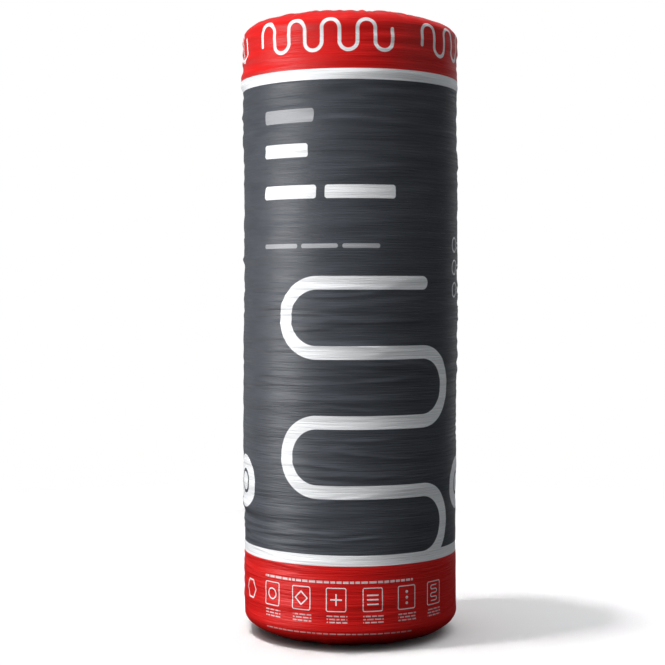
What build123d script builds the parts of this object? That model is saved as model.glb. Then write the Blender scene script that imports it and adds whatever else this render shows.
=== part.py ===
"""Loft insulation roll: one compressed glass wool mat in a tight printed film, standing on its end."""

from build123d import *
import math
import os

os.makedirs("parts", exist_ok=True)

# Rolled mat, in millimetres
mat_width = 1140.0  # height of the standing roll
wool_diameter = 400.0  # outer diameter of the wound mat
bore_diameter = 30.0  # open eye left at the middle of the winding
turn_pitch = 20.0  # thickness of one compressed turn

# Dip between two turns, which draws their spiral on both ends
dip_width = 14.0  # across the dip at the end face
dip_bevel_depth = 1.8  # the soft edges of the turns sink this far
crease_width = 5.0  # the tighter gap below the soft edges
crease_depth = 6.0  # how far the gap goes into the end

# Rounded rims, drawn in by the film. Across is along the radius, along is up the axis.
top_rim_across = 64.0
top_rim_along = 30.0
base_rim_across = 76.0
base_rim_along = 35.0
rim_bands = 5  # flat bands that stand for the curve of each rim

# Film
film_thickness = 0.5
film_clearance = 0.3  # air between the film and the wool
film_fold_in = 95.0  # how far the film reaches in over each end, from the side of the wool
lap_width = 60.0  # side seam, where the sheet covers its own edge
lap_bearing = 90.0  # the seam is at the back, in degrees from +X

# Flat pleats that take up the spare film round the top opening, long and short by turns
pleat_pairs = 16
long_pleat_width = 11.0
long_pleat_length = 86.0
short_pleat_width = 7.0
short_pleat_length = 70.0
pleat_layers = 2  # a flat tuck lays two more layers on the film

# Heights and radii that follow from the sizes above
wool_radius = wool_diameter / 2
bore_radius = bore_diameter / 2
wool_base_z = film_thickness + film_clearance
wool_top_z = wool_base_z + mat_width
base_rim_z = wool_base_z + base_rim_along
top_rim_z = wool_top_z - top_rim_along
film_opening_radius = wool_radius - film_fold_in
film_skin = film_clearance + film_thickness  # from the wool to the outside of the film
pleat_skin = film_skin + pleat_layers * film_thickness


def rim_points(skin, centre_z, across, along):
    """Corners of one rounded rim, from the side in to the end: points of a quarter oval where it
    has turned by equal steps, so that the flat bands between them are as even as they can be."""
    across += skin
    along += skin
    centre_x = wool_radius + skin - across
    turned = [math.radians(90 * step / rim_bands) for step in range(1, rim_bands)]
    bearings = [math.atan2(along * math.tan(turn), across) for turn in turned]
    return [
        (centre_x + across * math.cos(bearing), centre_z + along * math.sin(bearing))
        for bearing in [0, *bearings, math.pi / 2]
    ]


def half_section(skin, inner_radius):
    """Outline of the standing roll at a distance outside the wool: out along the base, up the
    side and in along the top."""
    base_rim = rim_points(skin, base_rim_z, base_rim_across, base_rim_along)
    top_rim = rim_points(skin, top_rim_z, top_rim_across, top_rim_along)
    base_rim = [(x, 2 * base_rim_z - z) for x, z in reversed(base_rim)]
    return [
        (inner_radius, wool_base_z - skin),
        *base_rim,
        *top_rim,
        (inner_radius, wool_top_z + skin),
    ]


# The mat, turned round the axis with its eye open from end to end
with BuildPart() as wool_roll:
    with BuildSketch(Plane.XZ):
        Polygon(*half_section(0, bore_radius))
    revolve(axis=Axis.Z)

    # The turns show as a spiral of half circles whose centres swap between two points beside
    # the axis, so each half turn starts where the last one ended and runs on without a kink.
    # The innermost one starts one turn out from the eye, over the end of the mat.
    half_dip = dip_width / 2
    half_crease = crease_width / 2
    first_radius = bore_radius + turn_pitch + turn_pitch / 4
    last_radius = wool_radius - max(top_rim_across, base_rim_across) - half_dip
    half_turn_count = int((last_radius - first_radius) / (turn_pitch / 2)) + 1
    for face_z, outward in ((wool_top_z, 1), (wool_base_z, -1)):
        for half_turn in range(half_turn_count):
            side = 1 if half_turn % 2 == 0 else -1
            centre_x = -side * turn_pitch / 4
            dip_x = centre_x + side * (first_radius + half_turn * turn_pitch / 2)
            with BuildSketch(Plane.XZ):
                Polygon(
                    (dip_x - half_dip, face_z + outward * crease_depth),
                    (dip_x - half_dip, face_z),
                    (dip_x - half_crease, face_z - outward * dip_bevel_depth),
                    (dip_x, face_z - outward * crease_depth),
                    (dip_x + half_crease, face_z - outward * dip_bevel_depth),
                    (dip_x + half_dip, face_z),
                    (dip_x + half_dip, face_z + outward * crease_depth),
                )
            revolve(
                axis=Axis((centre_x, 0, 0), (0, 0, 1)),
                revolution_arc=180,
                mode=Mode.SUBTRACT,
            )

        # Inner end of the mat: a straight crease from the eye out to the first dip
        with BuildSketch(Plane.YZ):
            Polygon(
                (-half_crease, face_z + outward * crease_depth),
                (-half_crease, face_z),
                (0, face_z - outward * crease_depth),
                (half_crease, face_z),
                (half_crease, face_z + outward * crease_depth),
            )
        extrude(amount=bore_radius + turn_pitch, mode=Mode.SUBTRACT)
wool_roll.part.label = "wool_roll"


# Pleats: tucks of spare film with their tips out on the rim, cut in plan from a turned layer
# that follows the rim's curve, and rooted in the middle of the film
with BuildPart() as pleats:
    with BuildSketch(Plane.XZ):
        Polygon(
            *half_section(film_skin - film_thickness / 2, film_opening_radius),
            *half_section(pleat_skin, film_opening_radius)[::-1],
        )
    revolve(axis=Axis.Z)
    with BuildSketch(Plane.XY.offset(wool_base_z + mat_width / 2)):
        for width, length, first_bearing in (
            (long_pleat_width, long_pleat_length, 0),
            (short_pleat_width, short_pleat_length, 180 / pleat_pairs),
        ):
            with PolarLocations(0, pleat_pairs, start_angle=first_bearing):
                Polygon(
                    (film_opening_radius + length, 0),
                    (film_opening_radius - film_thickness, width / 2),
                    (film_opening_radius - film_thickness, -width / 2),
                )
    extrude(amount=mat_width, mode=Mode.INTERSECT)


# The film: one skin up the side, round both rims and in over the ends
with BuildPart() as wrap_film:
    with BuildSketch(Plane.XZ):
        Polygon(
            *half_section(film_clearance, film_opening_radius),
            *half_section(film_skin, film_opening_radius)[::-1],
        )
    revolve(axis=Axis.Z)
    add(pleats.part)

    # Side seam: a second layer up the straight wall, rooted in the middle of the film
    lap_angle = math.degrees(lap_width / (wool_radius + film_skin))
    with BuildSketch(Plane.XZ.rotated((0, 0, lap_bearing - lap_angle / 2))):
        with Locations((wool_radius + film_skin - film_thickness / 2, base_rim_z)):
            Rectangle(
                film_thickness * 3 / 2,
                top_rim_z - base_rim_z,
                align=(Align.MIN, Align.MIN),
            )
    revolve(axis=Axis.Z, revolution_arc=lap_angle)
wrap_film.part.label = "wrap_film"


for piece in (wool_roll, wrap_film):
    export_step(piece.part, f"parts/{piece.part.label}.step")
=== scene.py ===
"""Loft insulation roll: a wound glass wool mat in a creased, printed polyethylene film, standing
on its end. Run as a script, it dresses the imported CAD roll. Lengths are in metres."""

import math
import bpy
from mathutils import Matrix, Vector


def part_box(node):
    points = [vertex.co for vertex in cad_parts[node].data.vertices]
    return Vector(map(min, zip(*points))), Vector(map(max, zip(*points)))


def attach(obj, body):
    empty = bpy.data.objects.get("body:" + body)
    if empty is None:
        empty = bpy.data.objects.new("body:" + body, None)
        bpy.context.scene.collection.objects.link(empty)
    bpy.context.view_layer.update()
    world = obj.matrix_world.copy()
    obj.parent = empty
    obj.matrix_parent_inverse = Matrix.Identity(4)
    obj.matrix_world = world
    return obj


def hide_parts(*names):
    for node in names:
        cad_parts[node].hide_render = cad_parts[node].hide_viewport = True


bl_info = {
    "name": "Loft Insulation Roll",
    "version": (1, 0, 0),
    "blender": (4, 5, 0),
    "location": "View3D > Sidebar > Insulation Roll",
    "description": "Builds a film-wrapped roll of glass wool and the studio it stands in",
    "category": "Add Mesh",
}

import bpy
import numpy as np
from bpy.props import FloatProperty, FloatVectorProperty, IntProperty, PointerProperty
from bpy.types import Operator, Panel, PropertyGroup
from mathutils import Vector

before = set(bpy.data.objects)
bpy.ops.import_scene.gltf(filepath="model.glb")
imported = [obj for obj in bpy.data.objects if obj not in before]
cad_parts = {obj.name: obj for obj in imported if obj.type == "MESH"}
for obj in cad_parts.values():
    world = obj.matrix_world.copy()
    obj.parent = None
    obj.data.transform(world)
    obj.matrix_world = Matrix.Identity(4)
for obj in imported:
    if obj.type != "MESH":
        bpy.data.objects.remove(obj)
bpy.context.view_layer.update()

WOOL_LOW, WOOL_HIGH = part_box("wool_roll")
FILM_SKIN = WOOL_LOW.z  # from the wool out to the face of the film: the film stands on z = 0
FILM_RADIUS = WOOL_HIGH.x + FILM_SKIN
FILM_TOP = WOOL_HIGH.z + FILM_SKIN


def srgb(text):
    """A hex colour as linear RGB: each channel over 12.92 if it is dark, else the sRGB curve."""
    channels = [int(text[i : i + 2], 16) / 255 for i in (1, 3, 5)]
    return tuple(c / 12.92 if c <= 0.04045 else ((c + 0.055) / 1.055) ** 2.4 for c in channels)


def length(name, description, default, **limits):
    return FloatProperty(
        name=name,
        description=description,
        default=default,
        subtype="DISTANCE",
        unit="LENGTH",
        precision=4,
        **limits,
    )


def power(name, description, default):
    return FloatProperty(name=name, description=description, default=default, unit="POWER")


def strength(name, description, default):
    return FloatProperty(name=name, description=description, default=default)


def colour(name, description, default):
    return FloatVectorProperty(
        name=name, description=description, default=srgb(default), subtype="COLOR", min=0, max=1
    )


# Settings


class RollFilmSettings(PropertyGroup):
    radius: length("Radius", "From the axis to the face of the film", FILM_RADIUS)
    top: length("Top", "Height of the film over the top end", FILM_TOP)
    opening: length("Opening radius", "Where the film ends on both ends of the roll", 0.105)
    top_across: length("Top rim across", "How far in the top rim's curve reaches", 0.0648)
    top_along: length("Top rim along", "How far down the top rim's curve reaches", 0.0308)
    base_across: length("Base rim across", "How far in the base rim's curve reaches", 0.0860)
    base_along: length("Base rim along", "How far up the base rim's curve reaches", 0.0410)
    thickness: length("Edge thickness", "Of the film where its edge shows", 0.0005)
    slack: length("Slack", "From the film's plain outline in to its hidden inner face", 0.0055)
    crease_depth: length("Crease depth", "Of the folds that run round the film", 0.0010)
    swell: length("Swell", "Of the soft unevenness of the wool below", 0.0012)
    pleats: IntProperty(name="Pleats", description="Tucks round each opening", default=32, min=8)
    pleat_height: length("Pleat height", "Of a pleat at the top opening", 0.0032)
    lap_width: length("Lap width", "Of the side seam at the back", 0.060)
    lap_step: length("Lap step", "Of the free edge of the side seam", 0.0012)
    columns: IntProperty(name="Columns", description="Faces round the wall", default=120, min=24)
    seed: IntProperty(name="Seed", description="Of the creases and pleats", default=7)


class RollPrintSettings(PropertyGroup):
    red: colour("Red", "Ink of both end bands", "#C91816")
    charcoal: colour("Charcoal", "Ink of the wide field", "#43464C")
    white: colour("White", "Ink of the stripes and marks", "#E3E4E6")
    pale: colour("Pale grey", "Ink of the lighter marks", "#98999C")
    base_band: length("Base band", "Top edge of the lower red band", 0.155)
    base_stripe: length("Base stripe", "Top edge of the lower white stripe", 0.174)
    top_stripe: length("Top stripe", "Bottom edge of the upper white stripe", 1.012)
    top_band: length("Top band", "Bottom edge of the upper red band", 1.031)
    line: length("Line", "Width of the wide wavy line on the field", 0.024)


class RollWoolSettings(PropertyGroup):
    wool: colour("Wool", "Resin-bonded glass fibre", "#E4CE89")
    # the darker straw is mixed in by the fibre noise, not placed between the turns
    gap: colour("Gap", "The same between two turns, where less light gets in", "#B08F3C")
    bore: length("Bore", "Radius of the open eye of the winding", 0.015)
    pitch: length("Turn pitch", "Thickness of one compressed turn", 0.020)
    dip_depth: length("Dip depth", "Between two turns", 0.0055)
    dip_width: length("Dip width", "Half width of the dip between two turns", 0.0042)
    swell: length("Swell", "How far the turns rise in the top opening", 0.0030)
    fuzz: length("Fuzz", "Of the layers that show on the cut ends", 0.0006)
    slack: length("Slack", "From the film's plain outline in to the side of the wool", 0.0072)
    columns: IntProperty(name="Columns", description="Faces round each end", default=240, min=24)
    seed: IntProperty(name="Seed", description="Of the turns and fibres", default=11)


class RollStageSettings(PropertyGroup):
    key: power("Key", "Power of the wide key light", 67)
    strip_softbox: power("Strip", "Power of the tall softbox that the film mirrors", 14)
    side_fill: power("Side", "Power of the weak light at the right", 6.5)
    back_fill: power("Back", "Power of the weak light behind", 8)
    floor_fill: power("Floor fill", "Power of the light over the floor", 81)
    high_light: strength("High", "Strength of the high light", 1.72)
    crown_light: strength("Crown", "More of it on the roll alone", 1.9)
    sky: strength("Sky", "Strength of the soft light from above", 0.5)
    floor: colour("Floor", "Pale studio floor", "#F6F6F6")


# Shared tools


# Kinds of node that come often
MATH = "ShaderNodeMath"
VECTOR_MATH = "ShaderNodeVectorMath"
SEPARATE = "ShaderNodeSeparateXYZ"
COMBINE = "ShaderNodeCombineXYZ"
MAP_RANGE = "ShaderNodeMapRange"
MIX = "ShaderNodeMix"
MIX_SHADER = "ShaderNodeMixShader"
NOISE = "ShaderNodeTexNoise"
BUMP = "ShaderNodeBump"
GROUP = "ShaderNodeGroup"
DIFFUSE = "ShaderNodeBsdfDiffuse"
PRINCIPLED = "ShaderNodeBsdfPrincipled"


def node(tree, kind, inputs=(), **settings):
    """Adds a node, sets its properties and fills its sockets, in order or by name: a node or
    socket is linked, a value is set, and None leaves the default."""
    made = tree.nodes.new(kind)
    for name, value in settings.items():
        setattr(made, name, value)
    pairs = inputs.items() if isinstance(inputs, dict) else enumerate(inputs)
    for key, value in pairs:
        if isinstance(value, bpy.types.Node):
            value = value.outputs[0]
        if isinstance(value, bpy.types.NodeSocket):
            tree.links.new(value, made.inputs[key])
        elif value is not None:
            made.inputs[key].default_value = value
    return made


def empty_tree(owner):
    """Gives a material or world its nodes and returns their tree, emptied."""
    owner.use_nodes = True
    owner.node_tree.nodes.clear()
    return owner.node_tree


def chain(tree, kind, value, *steps):
    """Works on a value with a row of nodes of one kind. A step is an operation and what it
    takes beside the value."""
    for operation, *others in steps:
        value = node(tree, kind, (value, *others), operation=operation)
    return value


def stretched_noise(tree, place, scale, detail, roughness=0.5):
    """Noise with so many grains to the metre, round the roll and across that."""
    grains = node(tree, "ShaderNodeMapping", {"Vector": place, "Scale": (*scale, 1)})
    sockets = {"Vector": grains, "Scale": 1.0, "Detail": detail, "Roughness": roughness}
    return node(tree, NOISE, sockets).outputs[0]


def soft_noise(rng, shape, spread):
    """Random numbers on a grid that wraps both ways, blurred by a bell curve of the given spread
    in cells down and across, and scaled to a deviation of 1."""
    down = np.fft.fftfreq(shape[0])[:, None] * spread[0]
    across = np.fft.rfftfreq(shape[1])[None, :] * spread[1]
    kept = np.exp(-2 * math.pi**2 * (down**2 + across**2))
    field = np.fft.irfft2(np.fft.rfft2(rng.standard_normal(shape)) * kept, s=shape)
    return (field - field.mean()) / field.std()


def sample(field, down, across):
    """The field at fractional places from 0 to 1 down and across it, straight between cells."""
    rows, columns = field.shape
    y, x = down * rows, across * columns
    y0, x0 = np.floor(y).astype(int), np.floor(x).astype(int)
    fy, fx = y - y0, x - x0
    y0, x0, y1, x1 = y0 % rows, x0 % columns, (y0 + 1) % rows, (x0 + 1) % columns
    upper = field[y0, x0] * (1 - fx) + field[y0, x1] * fx
    lower = field[y1, x0] * (1 - fx) + field[y1, x1] * fx
    return upper * (1 - fy) + lower * fy


def ease(low, high, value):
    """0 below low and 1 above high, with a smooth cubic step between them."""
    t = np.clip((value - low) / (high - low), 0, 1)
    return t * t * (3 - 2 * t)


def ring_mesh(name, rings, material):
    """A closed skin through a stack of rings. Each ring is (points, u, v): n points in order
    round the axis, n + 1 u values and one v for its places on the material's UV map. Rings of
    one count are joined by four-sided faces. Where the count changes k times, the wider cells
    of one ring are joined to the k cells of the other by fans. The last ring joins the first."""
    offsets = np.cumsum([0] + [len(points) for points, _, _ in rings])
    faces, uvs = [], []

    def add(*corners):
        """corners: (ring, columns) pairs, anticlockwise seen from outside."""
        index = [offsets[ring] + np.mod(columns, len(rings[ring][0])) for ring, columns in corners]
        place = [
            np.stack([rings[ring][1][columns], rings[ring][2][columns]], -1)
            for ring, columns in corners
        ]
        faces.append(np.stack(index, -1))
        uvs.append(np.stack(place, 1))

    for above in range(len(rings)):
        below = (above + 1) % len(rings)
        upper, lower = len(rings[above][0]), len(rings[below][0])
        j = np.arange(min(upper, lower))
        k = max(upper, lower) // min(upper, lower)
        if k == 1:
            add((above, j), (below, j), (below, j + 1), (above, j + 1))
        elif upper > lower:
            for m in range(k):
                apex = j if m < k // 2 else j + 1
                add((above, k * j + m), (below, apex), (above, k * j + m + 1))
            add((above, k * j + k // 2), (below, j), (below, j + 1))
        else:
            for m in range(k):
                apex = j if m < k // 2 else j + 1
                add((above, apex), (below, k * j + m), (below, k * j + m + 1))
            add((above, j), (below, k * j + k // 2), (above, j + 1))

    mesh = bpy.data.meshes.new(name)
    mesh.from_pydata(
        np.concatenate([points for points, _, _ in rings]),
        [],
        [face for block in faces for face in block.tolist()],
        shade_flat=False,
    )
    uv_map = mesh.uv_layers.new(name="metres")
    uv_map.data.foreach_set("uv", np.concatenate([block.reshape(-1) for block in uvs]))
    mesh.validate()
    mesh.materials.append(material)
    made = bpy.data.objects.new(name, mesh)
    bpy.context.scene.collection.objects.link(made)
    return made


# Film


# Folds that stand out on the side the photograph shows: bearing and height of both ends, in
# degrees from the front and metres, with their depth in metres.
STRONG_CREASES = (
    (-14, 0.906, 30, 0.902, 0.0008),
    (4, 0.862, 36, 0.865, 0.0007),
    (4, 0.850, 30, 0.856, 0.0006),
    (-60, 0.779, -5, 0.776, 0.0007),
    (-62, 0.694, -20, 0.692, 0.0008),
    (-64, 0.625, -20, 0.620, 0.0008),
    (-72, 0.541, -20, 0.556, 0.0009),
    (-72, 0.492, -26, 0.497, 0.0009),
    (-9, 0.503, 18, 0.501, 0.0009),
    (-2, 0.485, 22, 0.484, 0.0009),
    (-14, 0.455, 16, 0.454, 0.0008),
    (-17, 0.441, 18, 0.431, 0.0012),
    (-8, 0.379, 30, 0.381, 0.0008),
    (-12, 0.370, 18, 0.366, 0.0007),
    (-25, 0.307, 7, 0.301, 0.0012),
    (-30, 0.264, 15, 0.284, 0.0010),
    (-36, 0.217, 0, 0.213, 0.0014),
    (-12, 0.200, 20, 0.209, 0.0020),
)
STRONG_WIDTH = 0.0036  # half width of these folds
FOLD_GROUPS = 42  # random groups of two to five folds, one above the other
FRONT_HALF = 1.3  # radians to each side of the front, where random folds are fainter
FRONT_SHARE = 0.45
FOLD_MARGIN = 0.045  # along the outline, beyond which a single fold adds nothing
# Noise that shapes the film: the spread of its bumps along the outline and round the roll
FILM_NOISE = {
    "swell": (0.050, 0.110),
    "coarse": (0.0085, 0.075),
    "fine": (0.0042, 0.045),
    "where": (0.035, 0.120),
    "gather": (0.030, 0.0045),
    "wander": (0.020, 0.020),
}
NOISE_CELLS = (1400, 700)  # along the outline and round the roll
RIM_POINTS = 80  # on the outline of each rim
WALL_RINGS = 520
TOP_RINGS = 40
BASE_RINGS = 26
GATHER = 0.0010  # height of the fine gathers round the top opening
BASE_GATHER = 0.0006
SAG = 0.0034  # of the top rim
SAG_BEARING = 1.05  # of its middle, at the right of the front
TAUT_BEARING = 0.95  # where the wall is tautest
CLOSE = 0.0008  # from the film's face to the wool at the top opening
RAGGED = 0.0022  # unevenness of the film's edge in the top opening
HIDDEN_DROP = 0.0048  # from the top rim's outline down to the hidden face
BASE_LIFT = 0.0022  # from the base rim's outline up to the hidden face
RAGGED_CELLS = 960  # of that edge's noise, round the roll


def film_line(film):
    """Half outline of the film, from the top opening out, down and in to the base opening:
    straight, quarter oval, straight, quarter oval, straight."""
    turn = np.linspace(0, math.pi / 2, RIM_POINTS)
    top_r, top_z = film.radius - film.top_across, film.top - film.top_along
    base_r, base_z = film.radius - film.base_across, film.base_along
    top_rim = top_r + film.top_across * np.sin(turn), top_z + film.top_along * np.cos(turn)
    base_rim = base_r + film.base_across * np.cos(turn), base_z - film.base_along * np.sin(turn)
    r = np.concatenate([[film.opening], top_rim[0], base_rim[0], [film.opening]])
    z = np.concatenate([[film.top], top_rim[1], base_rim[1], [0]])
    run = np.concatenate([[0], np.cumsum(np.hypot(np.diff(r), np.diff(z)))])
    return r, z, run


def crease_rise(angle, run, start, end, depth, width, bow):
    """One fold: across its bowed line it rises as x exp(-x x), so one side stands out and the
    other sinks, and along the line it fades at both ends as a cosine bell."""
    (a0, s0), (a1, s1) = start, end
    along = np.mod(angle - a0 + math.pi, 2 * math.pi) - math.pi
    along = along / (a1 - a0)
    across = (run - (s0 + (s1 - s0) * along) - bow * (0.25 - (along - 0.5) ** 2)) / width
    bell = np.where((along > 0) & (along < 1), np.sin(math.pi * np.clip(along, 0, 1)) ** 1.5, 0)
    return depth * bell * across * np.exp(0.5 - across**2)


def single_folds(film, rng, wall_start, wall_end):
    """Both ends, depth, width and bow of each single fold: random groups, then the strong ones.
    A fold's ends are a bearing and a run along the outline."""
    folds = []
    for _ in range(FOLD_GROUPS):
        bearing, run = rng.uniform(-math.pi, math.pi), rng.uniform(wall_start, wall_end)
        reach, slope = rng.uniform(0.20, 0.80), rng.uniform(-0.009, 0.009)
        share = FRONT_SHARE if abs(bearing + reach / 2) < FRONT_HALF else 1.0
        for _ in range(rng.integers(2, 6)):
            first = bearing + rng.uniform(-0.12, 0.12)
            last = first + reach * rng.uniform(0.6, 1.1)
            end_run = run + slope + rng.uniform(-0.002, 0.002)
            depth = share * rng.uniform(0.0004, 0.0011)
            width, bow = rng.uniform(0.0030, 0.0055), rng.uniform(-0.008, 0.008)
            folds.append(((first, run), (last, end_run), depth, width, bow))
            run += rng.uniform(0.008, 0.015)
    shoulder = wall_start + film.top - film.top_along  # run plus height of a place on the wall
    for a0, z0, a1, z1, depth in STRONG_CREASES:
        start, end = (math.radians(a0), shoulder - z0), (math.radians(a1), shoulder - z1)
        folds.append((start, end, depth, STRONG_WIDTH, rng.uniform(-0.004, 0.006)))
    return folds


def film_rise(film):
    """Returns a function of bearing and run along the outline: how far the film stands out of
    its plain outline. It adds soft swells, folds that follow the zero lines of stretched noise,
    single folds, and pleats that fan out from both openings."""
    rng = np.random.default_rng(film.seed)
    _, _, run_line = film_line(film)
    total = run_line[-1]
    wall_start, wall_end = run_line[RIM_POINTS], run_line[RIM_POINTS + 1]
    shoulder = wall_start + film.top - film.top_along
    per_m = NOISE_CELLS[0] / total
    round_m = NOISE_CELLS[1] / (2 * math.pi * film.radius)
    noise = {
        name: soft_noise(rng, NOISE_CELLS, (along * per_m, around * round_m))
        for name, (along, around) in FILM_NOISE.items()
    }
    turn = 2 * math.pi / film.pleats
    pleats = [
        (
            (i + rng.uniform(-0.28, 0.28)) * turn,  # bearing
            rng.uniform(0.55, 1.15),  # height
            rng.uniform(0.060, 0.098) if i % 2 else rng.uniform(0.045, 0.080),  # length
            rng.choice((-1, 1)) * rng.uniform(0.2, 0.5),  # lean
        )
        for i in range(film.pleats)
    ]
    singles = single_folds(film, rng, wall_start, wall_end)

    def pleat_rise(angle, inward, reach):
        """inward: distance from the opening; reach scales the pleats' length. Each pleat is a
        leaning ridge that is narrow and high at the opening and dies out along its length."""
        wander = sample(noise["wander"], inward / total + 0.5, angle / (2 * math.pi))
        angle = angle + 0.025 * wander
        rise = np.zeros(np.broadcast(angle, inward).shape)
        for bearing, height, size, lean in pleats:
            left = 1 - ease(0, 1, inward / (size * reach))
            width = 0.0042 + 0.045 * inward
            off = np.mod(angle - bearing + math.pi, 2 * math.pi) - math.pi
            x = off * (film.opening + inward) / width
            x = x * (1 + lean * np.tanh(2 * x))
            rise = rise + height * left * np.exp(-x * x)
        return rise

    def wall_rise(angle, run, down, across):
        """Swells and folds of the wall, flatter by the base rim and at the right of the front,
        where the film is taut."""
        from_taut = np.mod(angle, 2 * math.pi) - TAUT_BEARING
        coarse, fine = (sample(noise[name], down, across) for name in ("coarse", "fine"))
        patch = ease(-0.7, 1.3, sample(noise["where"], down, across))
        upper = 1 - ease(shoulder - 0.86, shoulder - 0.72, run)  # finer and closer near the top
        folds = np.exp(-((coarse / 0.32) ** 2)) * (0.12 + 1.1 * patch * (1 - 0.4 * upper))
        folds = folds + (0.45 + 0.75 * upper) * fine * (0.5 + patch)
        out = film.swell * sample(noise["swell"], down, across)
        out = out + film.crease_depth * (folds - 0.3 + 0.4 * coarse)
        for single in singles:
            if np.abs(run - single[0][1]).min() < FOLD_MARGIN:
                out = out + crease_rise(angle, run, *single)
        base_taut = 1 - 0.55 * ease(wall_end - 0.150, wall_end - 0.100, run)
        side_taut = 1 - 0.65 * np.exp(-((from_taut / 0.55) ** 2))
        return base_taut * side_taut * out

    def rise(angle, run):
        angle, run = np.broadcast_arrays(angle, run)
        down, across = run / total, angle / (2 * math.pi) + 0.5
        on_wall = ease(wall_start - 0.055, wall_start + 0.010, run) * (
            1 - ease(wall_end - 0.005, wall_end + 0.050, run)
        )
        out = on_wall * wall_rise(angle, run, down, across)

        # pleats and gathers of the drawn-in film, and the sag of the top rim
        top_in, base_in = run, total - run
        near_top = 1 - ease(0.055, wall_start * 1.02, top_in)
        near_base = 1 - ease(0.040, (total - wall_end) * 1.05, base_in)
        gather = sample(noise["gather"], down, across)
        out = out + film.pleat_height * pleat_rise(angle, top_in, 1.25)
        out = out + GATHER * near_top * gather
        from_sag = np.mod(angle, 2 * math.pi) - SAG_BEARING
        sag = SAG * np.exp(-((from_sag / 0.6) ** 2))
        out = out - sag * ease(0.010, 0.040, top_in) * (1 - ease(0.080, 0.140, top_in))
        # no fold sinks into the wool, which lies close under the film at the top opening
        deepest = CLOSE + (0.76 * film.slack - CLOSE) * ease(0.004, 0.030, top_in)
        out = np.where(out < 0, -deepest * np.tanh(-out / deepest), out)
        # the base pleats are pressed flat where the roll stands on them
        lifted = near_base * ease(0.019, 0.040, base_in)
        ridge = pleat_rise(angle + 0.09, base_in, 1.35)
        out = out + lifted * (0.45 * film.pleat_height * (ridge - 0.35) + BASE_GATHER * gather)

        # side seam at the back: a free edge on one side, a soft one on the other
        half = film.lap_width / 2 / film.radius
        behind = np.mod(angle, 2 * math.pi) - math.pi
        free_edge = 1 - ease(half - 0.0015, half + 0.0015, behind)
        lap = ease(-half - 0.006, -half + 0.012, behind) * free_edge
        return out + film.lap_step * lap * on_wall

    return rise


def film_columns(film):
    """Bearings of the wall's columns from -pi to pi, even but for four that close in on the
    free edge of the lap, so that its step is sharp."""
    even = np.linspace(-math.pi, math.pi, film.columns - 3)
    edge = -math.pi + film.lap_width / 2 / film.radius
    extra = edge + np.array([-0.006, -0.0018, 0.0018, 0.006])
    return np.sort(np.concatenate([even, extra]))


def split_columns(columns, k):
    """Every gap between two columns cut into k even ones."""
    places = np.arange((len(columns) - 1) * k + 1) / k
    return np.interp(places, np.arange(len(columns)), columns)


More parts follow.
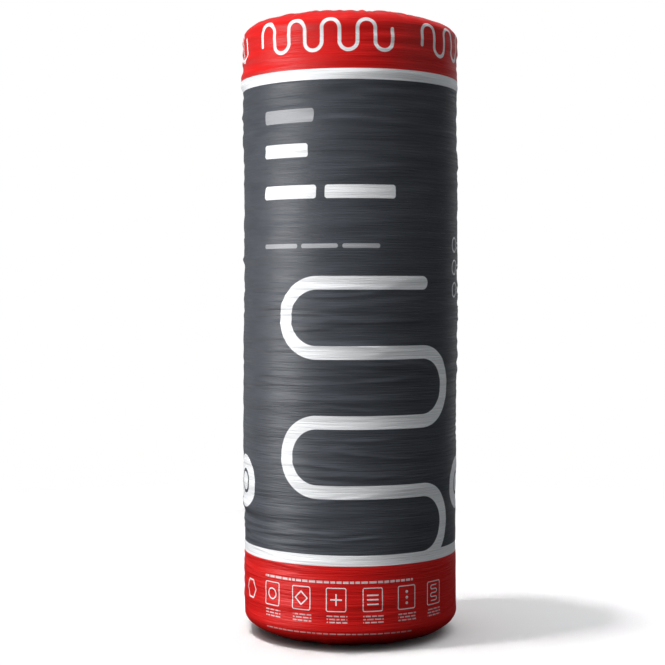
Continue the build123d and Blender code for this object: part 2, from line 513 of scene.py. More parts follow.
def build_film(film, material):
    """The film as one closed skin: a surface of bearing and run whose points stand off the
    outline by film_rise, and a plainer inner face just under it."""
    r_line, z_line, run_line = film_line(film)
    total = run_line[-1]
    wall_start, wall_end = run_line[RIM_POINTS], run_line[RIM_POINTS + 1]
    wall_top = film.top - film.top_along
    rise = film_rise(film)
    wall = film_columns(film)
    fine, medium, coarse = split_columns(wall, 4), split_columns(wall, 2), wall[::2]
    rng = np.random.default_rng(film.seed + 1)
    ragged = soft_noise(rng, (2, RAGGED_CELLS), (0.01, 9))[0]
    ragged_at = np.linspace(-math.pi, math.pi, RAGGED_CELLS + 1)[:-1]

    def point_ring(columns, r, z, normal, lift, v):
        """Points at a bearing: radius times sine and minus cosine, moved along the normal."""
        angle = columns[:-1]
        out_r, out_z = r + lift * normal[0], z + lift * normal[1]
        out_z = np.maximum(out_z + 0 * angle, 0)  # the film rests on the floor, not in it
        points = np.stack([out_r * np.sin(angle), -out_r * np.cos(angle), out_z], -1)
        return points, columns * film.radius, np.full(len(columns), v)

    def outline_at(run):
        """Radius, height and outward normal of the plain outline."""
        step = 1e-4
        a, b = max(run - step, 0), min(run + step, total)
        dr = np.interp(b, run_line, r_line) - np.interp(a, run_line, r_line)
        dz = np.interp(b, run_line, z_line) - np.interp(a, run_line, z_line)
        size = math.hypot(dr, dz)
        normal = (-dz / size, dr / size)
        return np.interp(run, run_line, r_line), np.interp(run, run_line, z_line), normal

    def outer(columns, run, ragged_edge=0.0):
        r, z, normal = outline_at(run)
        lift = rise(columns[:-1], np.full(len(columns) - 1, run))
        if ragged_edge:
            r = r + ragged_edge * np.interp(columns[:-1], ragged_at, ragged)
        return point_ring(columns, r, z, normal, lift, wall_top - (run - wall_start))

    def inner(columns, r, z):
        """A plain ring of the hidden face, in the red of the band outside it."""
        v = film.top + film.top_across if z > film.top / 2 else -film.base_across
        return point_ring(columns, r, z, (0, 0), 0, v)

    rings = []
    edge_fade = np.clip(1 - np.linspace(0, 1.6, TOP_RINGS), 0, 1)
    for run, fade in zip(np.linspace(0, wall_start - 0.001, TOP_RINGS), edge_fade):
        rings.append(outer(fine, run, RAGGED * fade))
    for run in np.linspace(wall_start + 0.001, wall_end - 0.001, WALL_RINGS):
        rings.append(outer(wall, run))
    for run in np.linspace(wall_end + 0.002, total, BASE_RINGS):
        rings.append(outer(medium, run))

    # hidden face, from the base opening up and round to the top opening
    top_edge, base_edge = rings[0], rings[-1]
    top_r, base_r = film.radius - film.top_across, film.radius - film.base_across
    wall_r = film.radius - film.slack
    rings.append((base_edge[0] + [0, 0, film.thickness], base_edge[1], base_edge[2]))
    rings.append(inner(wall, film.opening + 0.004, film.thickness))
    rings.append(inner(coarse, base_r, film.thickness + 0.0002))
    for turn in np.radians((25, 50, 70)):
        height = film.base_along - (film.base_along - BASE_LIFT) * math.cos(turn)
        rings.append(inner(coarse, base_r + (wall_r - base_r) * math.sin(turn), height))
    rings.append(inner(coarse, wall_r, film.base_along))
    rings.append(inner(coarse, wall_r, wall_top))
    for turn in np.radians((20, 40, 65)):
        height = wall_top + (film.top_along - HIDDEN_DROP) * math.sin(turn)
        rings.append(inner(coarse, top_r + (wall_r - top_r) * math.cos(turn), height))
    rings.append(inner(coarse, top_r, film.top - HIDDEN_DROP))
    rings.append(inner(wall, film.opening + 0.006, film.top - 0.0014))
    rings.append((top_edge[0] - [0, 0, film.thickness], top_edge[1], top_edge[2]))
    return ring_mesh("printed_film_wrap", rings, material)


# Print on the film


# Plain bars: left edge, right edge, middle height and height on the film, in metres from the
# front's middle line and from the floor.
WHITE_BARS = (
    (-0.175, -0.078, 0.890, 0.024),
    (-0.175, -0.062, 0.8165, 0.024),
    (-0.046, 0.083, 0.8165, 0.024),
)
PALE_BARS = (
    (-0.175, -0.066, 0.951, 0.024),
    (-0.175, -0.098, 0.721, 0.008),
    (-0.090, -0.022, 0.721, 0.008),
    (-0.014, 0.053, 0.721, 0.008),
)
# Wide wavy line on the field
WAVE_START = 0.162  # height of its first level run
WAVE_PITCH = 0.1235  # from one level run to the next
WAVE_HALF_RUN = 0.100
WAVE_MIDDLE = 0.040  # right of the front's middle line
# Thin wave in the top band, which lies on its side
BAND_WAVE_MIDDLE = -0.051  # of one of the four, from the front's middle line
BAND_WAVE_HEIGHT = 1.090
BAND_WAVE_PITCH = 0.0316
BAND_WAVE_HALF_RUN = 0.011
BAND_WAVE_HALF_WIDTH = 0.0032
# Outlined boxes in the lower band
MARK_COUNT = 6
MARK_PITCH = 0.0656  # from one box to the next
FIRST_MARK = -0.1565  # place of the first one, from the front's middle line
MARK_HEIGHT = 0.0955  # of their middles over the floor
MARK_HALF = (0.0175, 0.0207)
FIGURE_LINE = 0.0011  # half width of a line in a box
FIGURE_BAR = (0.0105, 0.0012)  # half length and half width of a bar in a box
# Thin lines of short bars: height on the film, half height, strength of the ink, and the ends
# of the line, or None for one under each box. Their heights are about whole line pitches.
THIN_LINES = (
    (0.1265, 0.0021, 0.75, (-0.174, 0.119)),
    (0.0660, 0.0012, 0.60, None),
    (0.0605, 0.0012, 0.60, None),
    (0.0550, 0.0012, 0.60, None),
    (0.0335, 0.0014, 0.45, (-0.172, 0.117)),
)
LINE_PITCH = 0.0055
LINE_SHIFT = 7.31  # cells that each line is ahead of the one below, so that no two are alike
RUN_LENGTH = 0.012  # of a bar with its gap, on the mean
RUN_GAP = 0.10  # half of the gap, as a share of that length
# Marks on the sides: places round from the front's middle line and up from the floor
SIDE_DISCS = ((-0.2590, 0.2890), (0.2790, 0.2840))
SIDE_DISC_RADIUS = 0.049
SIDE_DISC_RING = 0.020
RING_PLACE = (0.254, 0.6435)  # of the lowest of the small rings at the right
RING_PITCH = 0.0415
RING_COUNT = 3
HEXAGON_PLACE = (-0.2270, 0.0935)
HEXAGON_HEIGHT = 0.0160  # from its middle to a side
# The sheet is wound a little askew
LAP_HALF = 0.030  # half of the lap at the back, in metres
PRINT_STEP = 0.0035  # how far the print is off at the free edge of the lap


def distance_group(name, inputs):
    """A new node group with the given inputs and one distance out, and its input sockets."""
    tree = bpy.data.node_groups.new(name, "ShaderNodeTree")
    for socket, kind in inputs.items():
        tree.interface.new_socket(socket, in_out="INPUT", socket_type=kind)
    tree.interface.new_socket("Distance", in_out="OUTPUT", socket_type="NodeSocketFloat")
    return tree, node(tree, "NodeGroupInput").outputs[: len(inputs)]


def rounded_box_group():
    """Distance from a point to a box with rounded corners: the length of what sticks out of the
    inner box, less the corner radius."""
    inputs = {
        "Point": "NodeSocketVector",
        "Half size": "NodeSocketVector",
        "Corner": "NodeSocketFloat",
    }
    tree, (point, half_size, corner) = distance_group("rounded_box", inputs)
    inner = node(tree, VECTOR_MATH, (half_size, corner), operation="SUBTRACT")
    beyond = chain(tree, VECTOR_MATH, point, ("ABSOLUTE",), ("SUBTRACT", inner))
    steps = (("MAXIMUM", (0, 0, 0)), ("MULTIPLY", (1, 1, 0)), ("LENGTH",))
    outside = chain(tree, VECTOR_MATH, beyond, *steps).outputs["Value"]
    x, y, _ = node(tree, SEPARATE, (beyond,)).outputs
    inside = chain(tree, MATH, x, ("MAXIMUM", y), ("MINIMUM", 0.0))
    distance = chain(tree, MATH, outside, ("ADD", inside), ("SUBTRACT", corner))
    node(tree, "NodeGroupOutput", (distance,))
    return tree


def wave_group():
    """Distance from a point to the line drawn for insulation on plans: level runs of a half
    length, a pitch apart up Y, joined by half circles at the right and left in turn."""
    inputs = {
        "Point": "NodeSocketVector",
        "Pitch": "NodeSocketFloat",
        "Half run": "NodeSocketFloat",
    }
    tree, (point, pitch, half_run) = distance_group("insulation_wave", inputs)
    x, y, _ = node(tree, SEPARATE, (point,)).outputs
    rows = chain(tree, MATH, y, ("DIVIDE", pitch))
    row = chain(tree, MATH, rows, ("FLOOR",))
    side = chain(tree, MATH, row, ("FLOORED_MODULO", 2.0), ("MULTIPLY_ADD", -2.0, 1.0))
    x = chain(tree, MATH, x, ("MULTIPLY", side))
    steps = (("SUBTRACT", row), ("SUBTRACT", 0.5), ("ABSOLUTE",), ("MULTIPLY", pitch))
    level = chain(tree, MATH, rows, *steps)
    other = chain(tree, MATH, pitch, ("SUBTRACT", level))
    right = chain(tree, MATH, x, ("GREATER_THAN", 0.0))
    across = node(tree, MIX, {0: right, 2: other, 3: level}, data_type="FLOAT")
    past = chain(tree, MATH, x, ("ABSOLUTE",), ("SUBTRACT", half_run), ("MAXIMUM", 0.0))
    past_squared = chain(tree, MATH, past, ("MULTIPLY", past))
    half = chain(tree, MATH, pitch, ("MULTIPLY", 0.5))
    steps = (("MULTIPLY_ADD", across, past_squared), ("SQRT",), ("SUBTRACT", half))
    distance = chain(tree, MATH, across, *steps, ("ABSOLUTE",))
    node(tree, "NodeGroupOutput", (distance,))
    return tree


class PrintShapes:
    """Plain shapes as nodes of one tree. Each is a distance in metres that is negative inside,
    and shapes are joined by the least of their distances."""

    def __init__(self, tree):
        self.tree = tree
        self.box_group = rounded_box_group()
        self.wave_group = wave_group()

    def joined(self, operation, first, *others):
        """Shapes or masks taken together by their least, greatest or product."""
        return chain(self.tree, MATH, first, *((operation, other) for other in others))

    def box(self, point, centre, half_size, corner=0.0):
        moved = chain(self.tree, VECTOR_MATH, point, ("SUBTRACT", (*centre, 0)))
        sockets = (moved, (*half_size, 0), corner)
        return node(self.tree, GROUP, sockets, node_tree=self.box_group)

    def disc(self, point, centre, radius):
        return self.box(point, centre, (radius, radius), radius)

    def wave(self, point, centre, pitch, half_run, half_width):
        moved = chain(self.tree, VECTOR_MATH, point, ("SUBTRACT", (*centre, 0)))
        line = node(self.tree, GROUP, (moved, pitch, half_run), node_tree=self.wave_group)
        return chain(self.tree, MATH, line, ("SUBTRACT", half_width))

    def rim(self, distance, half_width):
        """A line along the edge of a shape."""
        return chain(self.tree, MATH, distance, ("ABSOLUTE",), ("SUBTRACT", half_width))

    def outside(self, distance):
        return chain(self.tree, MATH, distance, ("MULTIPLY", -1.0))

    def ink(self, distance, soft=0.0004):
        """1 where the distance is negative, with an edge as soft as flexographic ink."""
        return node(self.tree, MAP_RANGE, (distance, soft, -soft)).outputs[0]

    def nearest(self, value, first, pitch, count):
        """The number of the nearest place in a row, from 0, and how far past it a value is."""
        past = chain(self.tree, MATH, value, ("SUBTRACT", first))
        number = chain(self.tree, MATH, past, ("DIVIDE", pitch), ("ROUND",))
        number = node(self.tree, "ShaderNodeClamp", (number, 0.0, count - 1.0))
        return number, chain(self.tree, MATH, number, ("MULTIPLY_ADD", -pitch, past))


def print_place(tree, place, radius):
    """Place on the print, from one on the film: round the roll, up the roll, and both. The
    sheet is wound a little askew: towards the back the print drifts by a step, which ends at
    the free edge of the lap."""
    u, v, _ = node(tree, SEPARATE, (place,)).outputs
    seam = math.pi * radius - LAP_HALF
    sockets = (u, 0.6 * seam, seam, 0.0, PRINT_STEP)
    skew = node(tree, MAP_RANGE, sockets, interpolation_type="SMOOTHSTEP")
    lapped = chain(tree, MATH, u, ("LESS_THAN", -seam))
    v = chain(tree, MATH, lapped, ("MULTIPLY_ADD", PRINT_STEP, v), ("ADD", skew))
    return u, v, node(tree, COMBINE, (u, v, 0.0))


def print_bands(shapes, v, settings):
    """Red and white masks of the bands and stripes, from how far a place lies above or below
    the middle height of the field."""
    tree = shapes.tree
    middle = (settings.top_band + settings.base_band) / 2
    field = (settings.top_band - settings.base_band) / 2
    stripe = (settings.top_stripe - settings.base_stripe) / 2
    away = chain(tree, MATH, v, ("SUBTRACT", middle), ("ABSOLUTE",))
    red = shapes.ink(chain(tree, MATH, field, ("SUBTRACT", away)))
    beyond = shapes.ink(chain(tree, MATH, stripe, ("SUBTRACT", away)))
    return red, chain(tree, MATH, 1.0, ("SUBTRACT", red), ("MULTIPLY", beyond))


def print_bars(shapes, place, table):
    """Mask of plain bars with rounded corners."""
    bars = []
    for left, right, level, tall in table:
        half = ((right - left) / 2, tall / 2)
        corner = min(0.005, tall / 2.2)
        bars.append(shapes.box(place, ((left + right) / 2, level), half, corner))
    return shapes.ink(shapes.joined("MINIMUM", *bars))


def print_wave(shapes, place, half_width):
    """Mask of the wide wavy line: it grows out of the lower stripe and ends in a round cap."""
    sizes = (WAVE_PITCH, WAVE_HALF_RUN, half_width)
    line = shapes.wave(place, (WAVE_MIDDLE, WAVE_START), *sizes)
    last = WAVE_START + 4 * WAVE_PITCH
    half_rise = (last - WAVE_PITCH / 2 - WAVE_START) / 2
    lower = shapes.box(place, (WAVE_MIDDLE, WAVE_START + half_rise), (0.2, half_rise))
    left_of_end = (0.1 + WAVE_HALF_RUN, WAVE_PITCH / 2)
    upper = shapes.box(place, (WAVE_MIDDLE - 0.1, last), left_of_end)
    line = shapes.joined("MAXIMUM", line, shapes.joined("MINIMUM", lower, upper))
    cap = shapes.disc(place, (WAVE_MIDDLE + WAVE_HALF_RUN, last), half_width)
    return shapes.ink(shapes.joined("MINIMUM", line, cap))


def print_band_wave(shapes, u, v, radius):
    """Mask of the thin wave in the top band, at four places round the roll: eight half turns
    on their side, whose first and last runs end in round caps."""
    pitch, half_run, half_width = BAND_WAVE_PITCH, BAND_WAVE_HALF_RUN, BAND_WAVE_HALF_WIDTH
    tree, quarter = shapes.tree, math.pi / 2 * radius
    steps = (("FLOORED_MODULO", quarter), ("SUBTRACT", quarter / 2))
    along = chain(tree, MATH, u, ("ADD", quarter / 2 - BAND_WAVE_MIDDLE), *steps)
    up = chain(tree, MATH, v, ("SUBTRACT", BAND_WAVE_HEIGHT))
    turned = node(tree, COMBINE, (up, along, 0.0))
    end, off = 4 * pitch, half_run + 0.03
    line = shapes.joined(
        "MAXIMUM",
        shapes.wave(turned, (0, 0), pitch, half_run, half_width),
        shapes.box(turned, (0, 0), (0.04, end + half_width)),
        shapes.outside(shapes.box(turned, (off, end), (0.03, pitch / 2))),
        shapes.outside(shapes.box(turned, (-off, -end), (0.03, pitch / 2))),
    )
    caps = [shapes.disc(turned, (side * half_run, side * end), half_width) for side in (1, -1)]
    return shapes.ink(shapes.joined("MINIMUM", line, *caps))


def print_figures(shapes, number, cell):
    """Mask of the outlined boxes, each with its figure: a ring, a diamond, a plus, three bars,
    three dots and a small wave."""
    tree, middle = shapes.tree, (0, 0)
    outline = shapes.rim(shapes.box(cell, middle, MARK_HALF, 0.003), 0.0008)
    figure = shapes.rim(shapes.disc(cell, middle, 0.0095), FIGURE_LINE)
    turn = {"Vector": cell, "Rotation": (0, 0, math.radians(45))}
    tilted = node(tree, "ShaderNodeMapping", turn, vector_type="POINT")
    diamond = shapes.rim(shapes.box(tilted, middle, (0.0085, 0.0085), 0.0005), FIGURE_LINE)
    upright = shapes.box(cell, middle, FIGURE_BAR[::-1], 0.0008)
    bars = [shapes.box(cell, (0, side * 0.008), FIGURE_BAR, 0.0008) for side in (0, 1, -1)]
    plus = shapes.joined("MINIMUM", upright, bars[0])
    three_bars = shapes.joined("MINIMUM", *bars)
    dots = [shapes.disc(cell, (0, side * 0.010), 0.0026) for side in (-1, 0, 1)]
    dots = shapes.joined("MINIMUM", *dots)
    wave = shapes.wave(cell, (0, -0.014), 0.0070, 0.0050, 0.0009)
    wave = shapes.joined("MAXIMUM", wave, shapes.box(cell, middle, (0.012, 0.0149), 0.001))
    for place, shape in enumerate((diamond, plus, three_bars, dots, wave), 1):
        chosen = chain(tree, MATH, number, ("COMPARE", float(place), 0.5))
        figure = node(tree, MIX, {0: chosen, 2: figure, 3: shape}, data_type="FLOAT")
    return shapes.ink(shapes.joined("MINIMUM", outline, figure), 0.0003)


def print_thin_lines(shapes, place, u, v, cell):
    """Masks of the thin broken bars above and below the boxes: runs between the edges of random
    cells, drawn afresh on each line."""
    tree = shapes.tree
    row = chain(tree, MATH, v, ("DIVIDE", LINE_PITCH), ("ROUND",), ("MULTIPLY", LINE_SHIFT))
    along = chain(tree, MATH, u, ("MULTIPLY_ADD", 1 / RUN_LENGTH, row))
    runs = node(
        tree,
        "ShaderNodeTexVoronoi",
        {"W": along, "Scale": 1.0, "Randomness": 0.85},
        voronoi_dimensions="1D",
        feature="DISTANCE_TO_EDGE",
    )
    runs = chain(tree, MATH, RUN_GAP, ("SUBTRACT", runs), ("MULTIPLY", RUN_LENGTH))
    masks = []
    for level, tall, strength, ends in THIN_LINES:
        if ends:
            left, right = ends
            half = ((right - left) / 2, tall)
            line = shapes.box(place, ((left + right) / 2, level), half, 0.001)
        else:
            line = shapes.box(cell, (0.0015, level - MARK_HEIGHT), (0.0185, tall), 0.0005)
        faint = shapes.ink(shapes.joined("MAXIMUM", runs, line), 0.0003)
        masks.append(shapes.joined("MULTIPLY", faint, strength))
    return masks


def print_side_marks(shapes, place, u, v):
    """Masks of a disc with a ring on each side, three small rings with two short bars each at
    the right, and a hexagon left of the boxes: the larger of the distances to its sides."""
    tree, masks = shapes.tree, []
    for centre in SIDE_DISCS:
        disc = shapes.disc(place, centre, SIDE_DISC_RADIUS)
        ring = shapes.rim(shapes.disc(place, centre, SIDE_DISC_RING), 0.003)
        masks.append(shapes.ink(shapes.joined("MAXIMUM", disc, shapes.outside(ring))))

    across = chain(tree, MATH, u, ("SUBTRACT", RING_PLACE[0]))
    _, up = shapes.nearest(v, RING_PLACE[1], RING_PITCH, RING_COUNT)
    cell = node(tree, COMBINE, (across, up, 0.0))
    ring = shapes.rim(shapes.disc(cell, (0, 0), 0.013), 0.0016)
    long_bar = shapes.box(cell, (0.042, 0.004), (0.020, 0.0022), 0.0015)
    short_bar = shapes.box(cell, (0.036, -0.005), (0.014, 0.0022), 0.0015)
    masks.append(shapes.ink(shapes.joined("MINIMUM", ring, long_bar, short_bar)))

    corner = chain(tree, VECTOR_MATH, place, ("SUBTRACT", (*HEXAGON_PLACE, 0)), ("ABSOLUTE",))
    across, up, _ = node(tree, SEPARATE, (corner,)).outputs
    slant = chain(tree, MATH, across, ("MULTIPLY", math.cos(math.pi / 6)))
    slant = chain(tree, MATH, up, ("MULTIPLY_ADD", 0.5, slant))
    hexagon = chain(tree, MATH, slant, ("MAXIMUM", up), ("SUBTRACT", HEXAGON_HEIGHT))
    masks.append(shapes.ink(shapes.rim(hexagon, 0.0013)))
    return masks


def print_masks(tree, place, settings, radius):
    """Returns the red, white and pale masks of the print, from a place in metres on the film:
    two red bands, two white stripes, and plain generic marks."""
    shapes = PrintShapes(tree)
    u, v, place = print_place(tree, place, radius)
    red, white = print_bands(shapes, v, settings)
    pale = print_bars(shapes, place, PALE_BARS)

    # place from the middle of the nearest box in the lower band
    number, across = shapes.nearest(u, FIRST_MARK, MARK_PITCH, MARK_COUNT)
    cell = node(tree, COMBINE, (across, chain(tree, MATH, v, ("SUBTRACT", MARK_HEIGHT)), 0.0))
    marks = (
        print_bars(shapes, place, WHITE_BARS),
        print_wave(shapes, place, settings.line / 2),
        print_band_wave(shapes, u, v, radius),
        print_figures(shapes, number, cell),
        *print_thin_lines(shapes, place, u, v, cell),
        *print_side_marks(shapes, place, u, v),
    )
    return red, shapes.joined("MAXIMUM", white, *marks), pale


def film_material(settings, radius):
    """Low density polyethylene film, blown and printed by flexography: a satin skin whose broad
    highlight breaks into fine streaks that run round the roll."""
    material = bpy.data.materials.new("polyethylene_film_blown_and_printed")
    tree = empty_tree(material)
    place = node(tree, "ShaderNodeUVMap", uv_map="metres")
    red, white, pale = print_masks(tree, place.outputs[0], settings, radius)

    # ink density drifts a little over some 30 mm, as on a long print run
    density = stretched_noise(tree, place, (12, 34), 3.0)
    shade = node(tree, MAP_RANGE, (density, 0.3, 0.7, 0.90, 1.10))
    sockets = {0: 1.0, 6: (*settings.charcoal, 1), 7: shade}
    inked = node(tree, MIX, sockets, data_type="RGBA", blend_type="MULTIPLY")
    for mask, ink in ((red, settings.red), (pale, settings.pale), (white, settings.white)):
        sockets = {0: mask, 6: inked.outputs[2], 7: (*ink, 1)}
        inked = node(tree, MIX, sockets, data_type="RGBA")

    # streaks 4 mm and 1.5 mm high and some 90 mm and 30 mm long
    streaks = stretched_noise(tree, place, (11, 240), 3.0, 0.6)
    hair = stretched_noise(tree, place, (35, 650), 2.0)
    bump = node(tree, BUMP, {"Strength": 0.6, "Distance": 0.0018, "Height": streaks})
    sockets = {"Strength": 0.45, "Distance": 0.0005, "Height": hair, "Normal": bump}
    bump = node(tree, BUMP, sockets)
    gloss = node(tree, MAP_RANGE, (streaks, 0.30, 0.70, 0.30, 0.52))
    sockets = {"Base Color": inked.outputs[2], "Roughness": gloss, "IOR": 1.51, "Normal": bump}
    skin = node(tree, PRINCIPLED, sockets)
    node(tree, "ShaderNodeOutputMaterial", (skin,))
    return material


# Wool


WOOL_CELLS = (700, 512)  # of the noise, along the radius and round the roll
WOOL_REACH = 0.25  # radius that the noise covers
LAYER_REACH = 0.20  # the same for the layers of fibre, which follow the turns
MAP_RADIUS = 0.08  # at which the material's map is true round the roll
TURN_DRIFT = 0.0013  # of the lines between the turns off their true spiral
TURN_CROWN = 0.0012  # rise of each turn between its dips
TURN_STEP = 0.0007  # of one turn above or below its neighbours
OPEN_REACH = 0.112  # radius to which the ends are modelled finely: a little under the film
OPEN_RINGS = 122
PRESSED = 0.0008  # how far the film's edge presses the top down
UNDER_DROP = 0.0045  # more room for the film's folds further out
TOP_ROOM = 0.0055  # from the top rim's outline down to the wool


def build_wool(wool, film, material):
    """The wound mat as one closed skin. On both ends its height is a function of bearing and
    radius: the turns are rounded ridges between the lines of a spiral of half circles whose
    centres swap between two points a quarter pitch each side of the axis, with noise stretched
    along the turns for the layers of fibre."""
    rng = np.random.default_rng(wool.seed)
    bearings = np.linspace(-math.pi, math.pi, wool.columns + 1)
    top_z, low_z = film.top - FILM_SKIN, FILM_SKIN
    layers = soft_noise(rng, WOOL_CELLS, (1.1, 9))
    clumps = soft_noise(rng, WOOL_CELLS, (5, 5))
    drift = soft_noise(rng, WOOL_CELLS, (24, 26))
    quarter = wool.pitch / 4
    first = wool.bore + wool.pitch + quarter

    def end_height(bearing, radius):
        """Height over the flat end: minus the dips between turns, plus the layers."""
        x, y = radius * np.sin(bearing), -radius * np.cos(bearing)
        centre = np.where(y >= 0, -quarter, quarter)
        start = np.where(y >= 0, first, first + wool.pitch / 2)
        across = bearing / (2 * math.pi) + 0.5
        from_centre = np.hypot(x - centre, y)
        from_centre = from_centre + TURN_DRIFT * sample(drift, radius / WOOL_REACH, across)
        turns = (from_centre - start) / wool.pitch
        gap = (np.mod(turns + 0.5, 1) - 0.5) * wool.pitch
        wound = np.where(turns > -0.5, 1.0, 0.0)
        dip = wound * np.exp(-((gap / wool.dip_width) ** 2))
        # the inner end of the mat: a straight crease from the eye to the first dip, along +X
        end = first - quarter
        cut = np.exp(-((y / (wool.dip_width * 0.7)) ** 2)) * ease(0.0, 0.003, x)
        cut = cut * (1 - ease(end - 0.002, end + 0.003, x))
        crown = TURN_CROWN * (1 - (2 * gap / wool.pitch) ** 2)
        level = TURN_STEP * np.sin(np.floor(turns + 0.5) * 2.4)
        along = sample(layers, from_centre / LAYER_REACH, across)
        lump = sample(clumps, radius / WOOL_REACH, across)
        fibre = wool.fuzz * (along + 0.6 * lump)
        return crown + level + fibre - wool.dip_depth * np.maximum(dip, cut)

    def ring(radius, z, v=None):
        angle = bearings[:-1]
        points = np.stack([radius * np.sin(angle), -radius * np.cos(angle), z + 0 * angle], -1)
        return points, bearings * MAP_RADIUS, np.full(len(bearings), radius if v is None else v)

    def end_radii(start, last, count):
        """Radii of an end's rings, and how far each lies open, from 0 under the film to 1."""
        fine = np.linspace(wool.bore, OPEN_REACH, OPEN_RINGS)
        radii = np.concatenate([fine, np.linspace(start, last, count)])
        return radii, 1 - ease(film.opening - 0.022, film.opening - 0.004, radii)

    rings = []
    rim, side = film.radius - film.top_across, film.radius - wool.slack
    radii, in_opening = end_radii(0.118, rim, 5)
    under = ease(film.opening - 0.012, film.opening - 0.002, radii)
    pressed = PRESSED * under + UNDER_DROP * ease(0.108, 0.122, radii)
    lip = np.exp(-(((radii - wool.bore) / 0.003) ** 2))
    for radius, free, held, rounded in zip(radii, in_opening, pressed, lip):
        height = end_height(bearings[:-1], np.full(wool.columns, radius))
        rest = (1 - free) * 0.3 * np.minimum(height, 0)
        z = top_z - held + free * (wool.swell + height) + rest
        rings.append(ring(radius, z - 0.002 * rounded))
    for turn in np.radians((25, 50, 72, 90)):
        z = top_z - TOP_ROOM - (film.top_along - TOP_ROOM) * (1 - math.cos(turn))
        rings.append(ring(rim + (side - rim) * math.sin(turn), z))

    rim = film.radius - film.base_across
    for turn in np.radians((90, 70, 48, 24)):
        z = low_z + 0.0015 + (film.base_along - 0.001) * (1 - math.cos(turn))
        rings.append(ring(rim + (side - rim) * math.sin(turn), z))
    radii, in_opening = end_radii(0.114, rim, 3)
    for radius, free in zip(radii[::-1], in_opening[::-1]):
        height = end_height(-bearings[:-1], np.full(wool.columns, radius))
        z = low_z + 0.0006 - np.minimum(height, 0) * (0.15 + 0.85 * free) + 0.0004 * (1 - free)
        rings.append(ring(radius, z))
    for z in np.linspace(0.02, top_z - 0.02, 10):
        rings.append(ring(wool.bore, z, v=z))
    return ring_mesh("wound_glass_wool", rings, material)


def wool_material(settings):
    """Glass wool, spun, resin-bonded, cut and wound: matt straw-coloured fibre in fine layers that
    follow the turns, with a darker straw mixed in where the fibre noise is low."""
    material = bpy.data.materials.new("glass_wool_resin_bonded_and_wound")
    tree = empty_tree(material)
    place = node(tree, "ShaderNodeUVMap", uv_map="metres")
    # real fibres are a few thousandths of a millimetre thick: these are bundles of 0.6 mm
    fibre = stretched_noise(tree, place, (90, 1400), 5.0, 0.7)
    spot = node(tree, "ShaderNodeTexCoord").outputs["Object"]
    sockets = {"Vector": spot, "Scale": 260.0, "Detail": 6.0, "Roughness": 0.75}
    tufts = node(tree, NOISE, sockets).outputs[0]
    both = node(tree, MIX, {0: 0.45, 2: fibre, 3: tufts}, data_type="FLOAT").outputs[0]
    tone = node(tree, MAP_RANGE, (both, 0.34, 0.62, 0.0, 1.0))
    sockets = {0: tone, 6: (*settings.gap, 1), 7: (*settings.wool, 1)}
    worn = node(tree, MIX, sockets, data_type="RGBA")
    bump = node(tree, BUMP, {"Strength": 0.8, "Distance": 0.0012, "Height": both})
    sockets = {
        "Base Color": worn.outputs[2],
        "Roughness": 0.95,
        "IOR": 1.45,
        "Specular IOR Level": 0.2,
        "Sheen Weight": 0.25,
        "Sheen Roughness": 0.6,
        "Normal": bump,
    }
    wool = node(tree, PRINCIPLED, sockets)
    node(tree, "ShaderNodeOutputMaterial", (wool,))
    return material


# Stage


CAMERA_PLACE = (0, -2.7488, 0.646)
CAMERA_TURN = (88.261, 0, 0.7055)  # degrees
CAMERA_LENS = 78.57  # millimetres, for a sensor 36 mm wide
FLOOR_HALF = 6.0
FLOOR_FADE = (0.9, 2.2)  # distance from the axis where the floor starts to fade, and is gone
COOL_WHITE = (0.93, 0.97, 1.0)
# Softboxes: place, target, and width and height. The power is the setting of the same name.
SOFT_LIGHTS = {
    "key": ((-2.10, -1.48, 1.15), (0, 0, 0.60), (1.5, 1.5)),
    "strip_softbox": ((-1.50, -0.60, 0.60), (0, 0, 0.58), (0.95, 1.10)),
    "side_fill": ((2.05, -0.55, 1.0), (0, 0, 0.55), (1.8, 1.8)),
    "back_fill": ((1.1, 1.9, 1.0), (0, 0, 0.57), (1.5, 1.5)),
    "floor_fill": ((0, 0.3, 2.6), (0, 0.3, 0), (5, 5)),
}
# Far lights: direction towards the light, and spread in degrees
FAR_LIGHTS = {
    "high_light": ((-0.325, -0.095, 1.0), 8),
    "crown_light": ((-0.20, -0.15, 1.0), 30),
    "sky": ((0, 0, 1), 180),
}
NOT_ON_FLOOR = ("key", "strip_softbox", "side_fill", "back_fill", "crown_light")
MIRRORED = ("strip_softbox", "floor_fill")  # the others give no highlight


def soft_light(name, place, target, size, power):
    """A rectangular softbox that looks at a target."""
    data = bpy.data.lights.new(name, "AREA")
    data.shape = "RECTANGLE"
    data.size, data.size_y = size
    data.energy = power
    light = bpy.data.objects.new(name, data)
    light.location = place
    light.rotation_euler = (Vector(target) - Vector(place)).to_track_quat("-Z", "Y").to_euler()
    bpy.context.scene.collection.objects.link(light)
    return light


def far_light(name, towards, spread, strength):
    """A light so far off that its rays are parallel, but for a spread in degrees."""
    data = bpy.data.lights.new(name, "SUN")
    data.energy, data.angle = strength, math.radians(spread)
    light = bpy.data.objects.new(name, data)
    light.rotation_euler = Vector(towards).to_track_quat("Z", "Y").to_euler()
    bpy.context.scene.collection.objects.link(light)
    return light


def add_camera(scene):
    data = bpy.data.cameras.new("camera")
    data.lens = CAMERA_LENS
    data.sensor_width = 36
    camera = bpy.data.objects.new("camera", data)
    camera.location = CAMERA_PLACE
    camera.rotation_euler = [math.radians(turn) for turn in CAMERA_TURN]
    scene.collection.objects.link(camera)
    scene.camera = camera
    scene.view_settings.view_transform = "Standard"


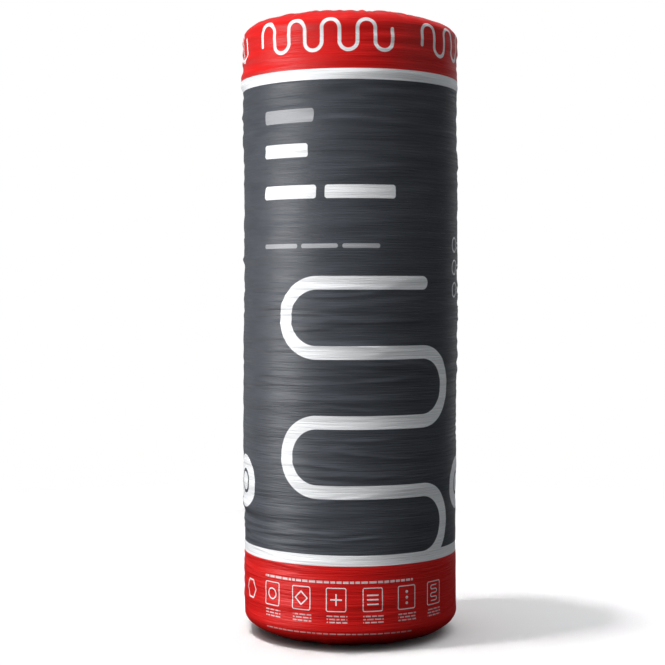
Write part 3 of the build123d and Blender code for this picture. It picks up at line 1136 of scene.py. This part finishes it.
def floor_material(colour):
    """Matt white paint, as the camera sees it, that fades into the white ground round it. It is
    nearly black to light that goes on to the roll, and blacker still where the film mirrors
    it."""
    paint = bpy.data.materials.new("studio_floor")
    tree = empty_tree(paint)
    spot = node(tree, "ShaderNodeTexCoord").outputs["Object"]
    away = node(tree, VECTOR_MATH, (spot,), operation="LENGTH").outputs["Value"]
    fade = node(tree, MAP_RANGE, (away, *FLOOR_FADE), interpolation_type="SMOOTHSTEP")
    seen = node(tree, "ShaderNodeLightPath")
    dull = node(tree, DIFFUSE, {"Color": (0.03, 0.03, 0.03, 1)})
    dark = node(tree, DIFFUSE, {"Color": (0.01, 0.01, 0.01, 1)})
    pale = node(tree, DIFFUSE, {"Color": (*colour, 1)})
    matt = node(tree, MIX_SHADER, (seen.outputs["Is Glossy Ray"], dull, dark))
    matt = node(tree, MIX_SHADER, (seen.outputs["Is Camera Ray"], matt, pale))
    clear = node(tree, "ShaderNodeBsdfTransparent")
    mixed = node(tree, MIX_SHADER, (fade, matt, clear))
    node(tree, "ShaderNodeOutputMaterial", (mixed,))
    return paint


def add_floor(scene, colour):
    """A square at z = 0."""
    x, y = np.meshgrid((-FLOOR_HALF, FLOOR_HALF), (-FLOOR_HALF, FLOOR_HALF))
    mesh = bpy.data.meshes.new("floor")
    mesh.from_pydata(np.stack([x, y, 0 * x], -1).reshape(-1, 3), [], [(0, 1, 3, 2)])
    mesh.materials.append(floor_material(colour))
    floor = bpy.data.objects.new("floor", mesh)
    scene.collection.objects.link(floor)
    return floor


def add_world(scene):
    """White ground for the camera. The roll stands in a dark room, which the film mirrors: a
    pale wall behind, paler at the right, a little light above, and pale ground far left."""
    world = bpy.data.worlds.new("studio")
    tree = empty_tree(world)
    seen = node(tree, "ShaderNodeLightPath")
    spot = node(tree, "ShaderNodeTexCoord").outputs["Generated"]
    x, y, z = node(tree, SEPARATE, (spot,)).outputs
    above = node(tree, MAP_RANGE, (z, 0.2, 0.9), interpolation_type="SMOOTHSTEP")
    sockets = (y, 0.45, 0.9, 0.01, 0.22)
    wall = node(tree, MAP_RANGE, sockets, interpolation_type="SMOOTHSTEP")
    paler = node(tree, MAP_RANGE, (x, -0.4, 0.4, 0.9, 1.7))
    wall = node(tree, MATH, (wall, paler), operation="MULTIPLY")
    shine = node(tree, MATH, (above, 0.12, wall), operation="MULTIPLY_ADD")
    left = node(tree, MAP_RANGE, (x, -0.3, -0.7), interpolation_type="SMOOTHSTEP")
    sockets = (z, -0.04, -0.14, 0.0, 0.60)
    low = node(tree, MAP_RANGE, sockets, interpolation_type="SMOOTHSTEP")
    shine = node(tree, MATH, (left, low, shine), operation="MULTIPLY_ADD")
    around = node(tree, "ShaderNodeBackground", ((0.96, 0.98, 1, 1), shine))
    ground = node(tree, "ShaderNodeBackground", ((1, 1, 1, 1), 1.0))
    both = node(tree, MIX_SHADER, (seen.outputs["Is Camera Ray"], around, ground))
    node(tree, "ShaderNodeOutputWorld", (both,))
    scene.world = world


def add_lights(settings, floor):
    """The floor has its own light and shares two others. The strip is only mirrored."""
    not_floor = bpy.data.collections.new("not_the_floor")
    not_floor.objects.link(floor)
    not_floor.collection_objects[0].light_linking.link_state = "EXCLUDE"
    floor_only = bpy.data.collections.new("the_floor_only")
    floor_only.objects.link(floor)
    lights = {}
    for name, row in SOFT_LIGHTS.items():
        lights[name] = soft_light(name, *row, getattr(settings, name))
    for name, row in FAR_LIGHTS.items():
        lights[name] = far_light(name, *row, getattr(settings, name))
    for name, light in lights.items():
        light.visible_glossy = name in MIRRORED
    for name in NOT_ON_FLOOR:
        lights[name].light_linking.receiver_collection = not_floor
    lights["floor_fill"].light_linking.receiver_collection = floor_only
    lights["strip_softbox"].visible_diffuse = False
    lights["side_fill"].data.color = lights["sky"].data.color = COOL_WHITE


# Operators


class ROLL_OT_film(Operator):
    """Builds the printed film round the roll, in place of the CAD film"""

    bl_idname = "insulation_roll.film"
    bl_label = "Build Printed Film"

    def execute(self, context):
        scene = context.scene
        film = scene.roll_film
        piece = build_film(film, film_material(scene.roll_print, film.radius))
        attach(piece, "root")
        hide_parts("wrap_film")
        return {"FINISHED"}


class ROLL_OT_wool(Operator):
    """Builds the wound glass wool mat, in place of the CAD mat"""

    bl_idname = "insulation_roll.wool"
    bl_label = "Build Wound Wool"

    def execute(self, context):
        scene = context.scene
        piece = build_wool(scene.roll_wool, scene.roll_film, wool_material(scene.roll_wool))
        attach(piece, "root")
        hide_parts("wool_roll")
        return {"FINISHED"}


class ROLL_OT_stage(Operator):
    """Sets up the camera, the pale floor and the soft studio lights"""

    bl_idname = "insulation_roll.stage"
    bl_label = "Set Up Stage"

    def execute(self, context):
        scene, settings = context.scene, context.scene.roll_stage
        add_camera(scene)
        floor = add_floor(scene, settings.floor)
        add_world(scene)
        add_lights(settings, floor)
        return {"FINISHED"}


class ROLL_PT_sidebar(Panel):
    """Sizes, colours and steps of the insulation roll"""

    bl_idname = "ROLL_PT_sidebar"
    bl_label = "Insulation Roll"
    bl_space_type = "VIEW_3D"
    bl_region_type = "UI"
    bl_category = "Insulation Roll"

    def draw(self, context):
        for operator, group in STEPS:
            box = self.layout.box()
            box.operator(operator)
            settings = getattr(context.scene, group)
            for name in settings.__annotations__:
                box.prop(settings, name)


STEPS = (
    ("insulation_roll.stage", "roll_stage"),
    ("insulation_roll.film", "roll_film"),
    ("insulation_roll.wool", "roll_wool"),
)
SETTINGS = {
    "roll_film": RollFilmSettings,
    "roll_print": RollPrintSettings,
    "roll_wool": RollWoolSettings,
    "roll_stage": RollStageSettings,
}
CLASSES = (*SETTINGS.values(), ROLL_OT_film, ROLL_OT_wool, ROLL_OT_stage, ROLL_PT_sidebar)


def register():
    for made in CLASSES:
        bpy.utils.register_class(made)
    for name, group in SETTINGS.items():
        setattr(bpy.types.Scene, name, PointerProperty(type=group))


def unregister():
    for name in SETTINGS:
        delattr(bpy.types.Scene, name)
    for made in reversed(CLASSES):
        bpy.utils.unregister_class(made)


def main():
    register()
    bpy.ops.insulation_roll.stage()
    bpy.ops.insulation_roll.film()
    bpy.ops.insulation_roll.wool()


if __name__ == "__main__":
    main()
